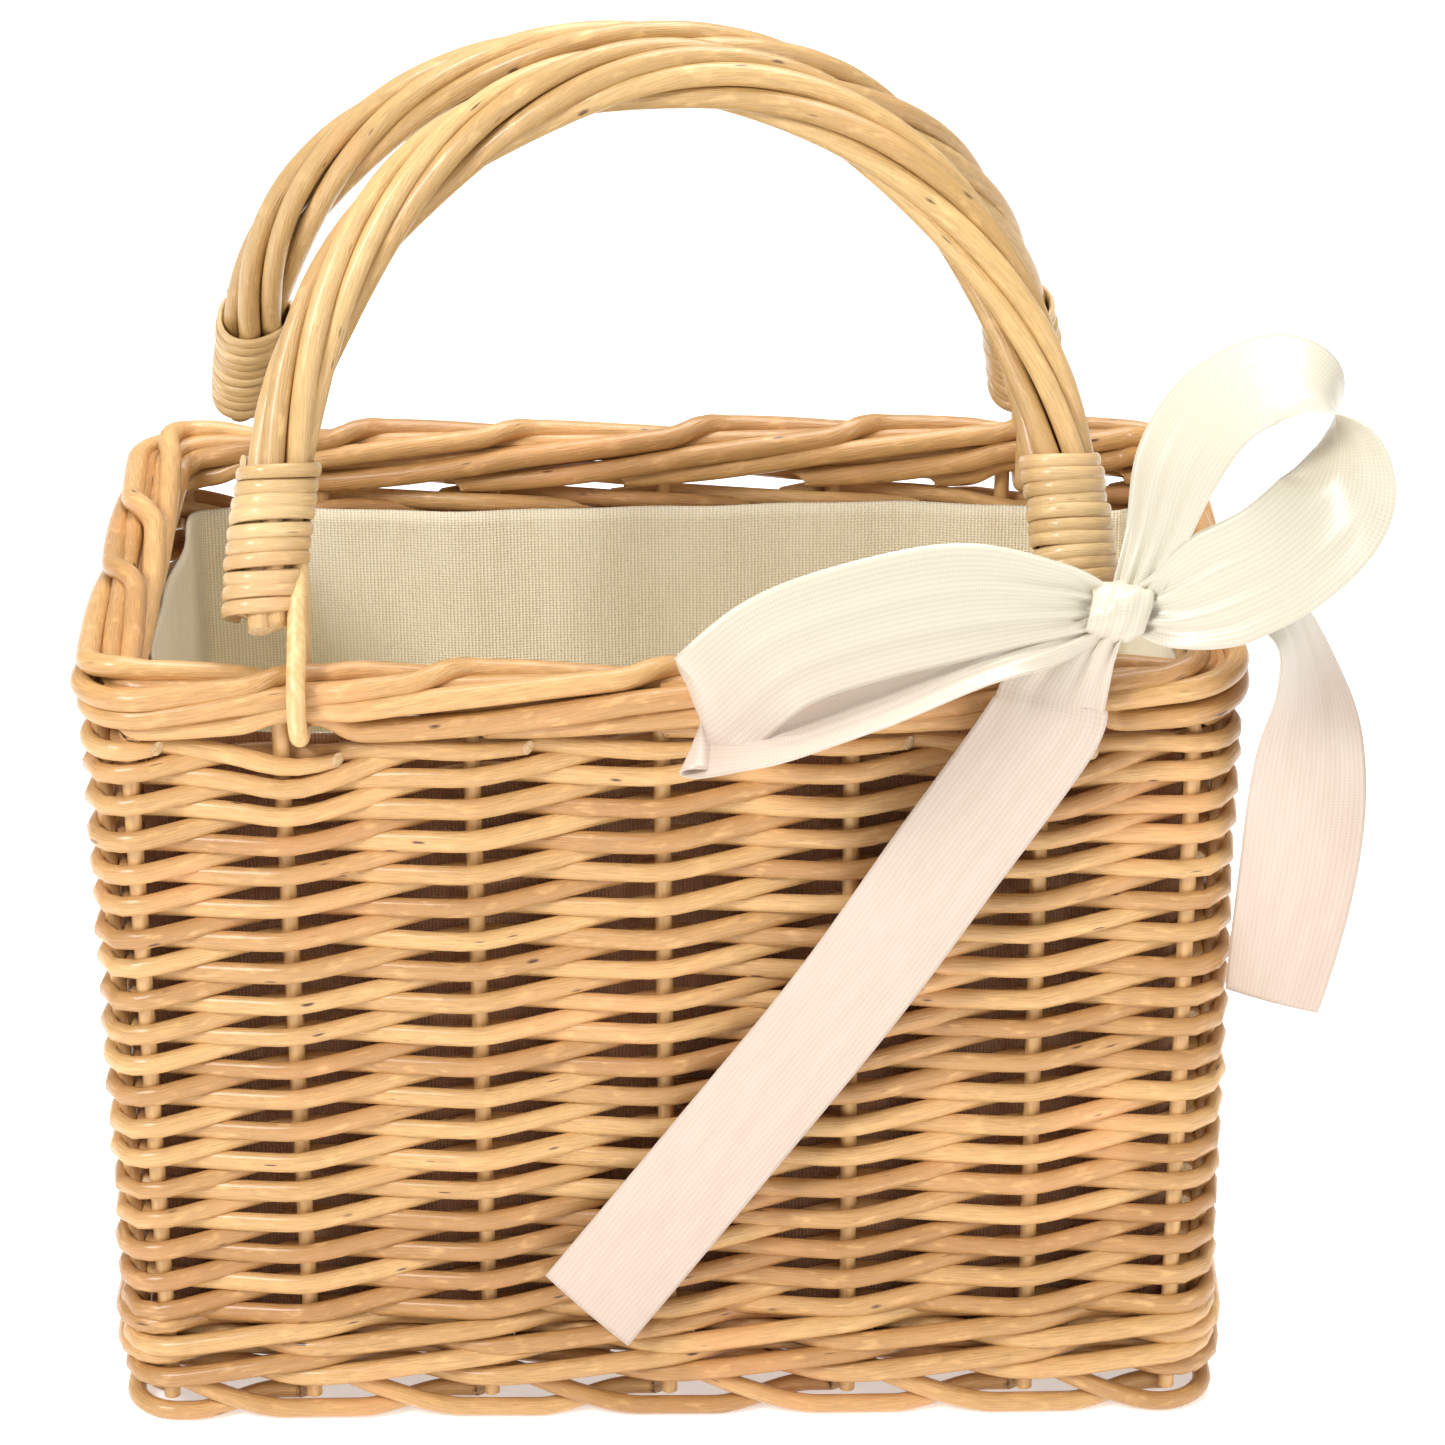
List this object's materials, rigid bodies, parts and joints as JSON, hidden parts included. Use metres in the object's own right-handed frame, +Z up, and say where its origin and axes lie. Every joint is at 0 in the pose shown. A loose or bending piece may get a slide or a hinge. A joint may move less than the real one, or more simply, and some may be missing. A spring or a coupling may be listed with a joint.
{
  "type": "flower girl basket",
  "caption": "Rectangular woven willow basket with a cotton liner, two swinging twisted-rod handles and a ribbon bow, for carrying petals",
  "frame": {"origin": "middle of the flat underside of the foot border", "axes": "+X to the basket's right seen from the front, -Y towards the front wall, +Z up"},
  "size_m": [0.2805, 0.1771, 0.3024],
  "materials": {
    "wall_willow": "varnished buff willow",
    "stake_willow": "varnished buff willow",
    "border_willow": "varnished buff willow",
    "base_willow": "buff willow",
    "handle_willow": "smooth peeled willow",
    "split_willow": "split and shaved willow",
    "loop_willow": "peeled willow",
    "cotton": "plain-woven natural cotton",
    "satin": "ivory satin ribbon"
  },
  "bodies": {
    "basket": {"front_weave": "wall_willow", "back_weave": "wall_willow", "left_weave": "wall_willow", "right_weave": "wall_willow", "front_stakes": "stake_willow", "back_stakes": "stake_willow", "left_stakes": "stake_willow", "right_stakes": "stake_willow", "corner_posts": "stake_willow", "top_border": "border_willow", "foot_border": "border_willow", "waling_band": "border_willow", "base_weave": "base_willow", "base_sticks": "base_willow", "liner": "cotton"},
    "front_handle": {"front_handle_rods": "handle_willow", "front_left_binding": "split_willow", "front_right_binding": "split_willow", "front_left_hinge_loop": "loop_willow", "front_right_hinge_loop": "loop_willow", "ribbon_knot": "satin", "ribbon_left_loop": "satin", "ribbon_right_loop": "satin", "ribbon_left_tail": "satin", "ribbon_right_tail": "satin"},
    "back_handle": {"back_handle_rods": "handle_willow", "back_left_binding": "split_willow", "back_right_binding": "split_willow", "back_left_hinge_loop": "loop_willow", "back_right_hinge_loop": "loop_willow"}
  },
  "joints": [
    {"name": "front_handle_swing", "type": "hinge", "parent": "basket", "child": "front_handle", "pos_m": [0, -0.066, 0.1795], "axis": [1, 0, 0], "range_deg": [0, 95], "deforming": ["ribbon_left_loop", "ribbon_left_tail", "ribbon_right_tail"]},
    {"name": "back_handle_swing", "type": "hinge", "parent": "basket", "child": "back_handle", "pos_m": [0, 0.066, 0.1795], "axis": [-1, 0, 0], "range_deg": [0, 95]}
  ]
}
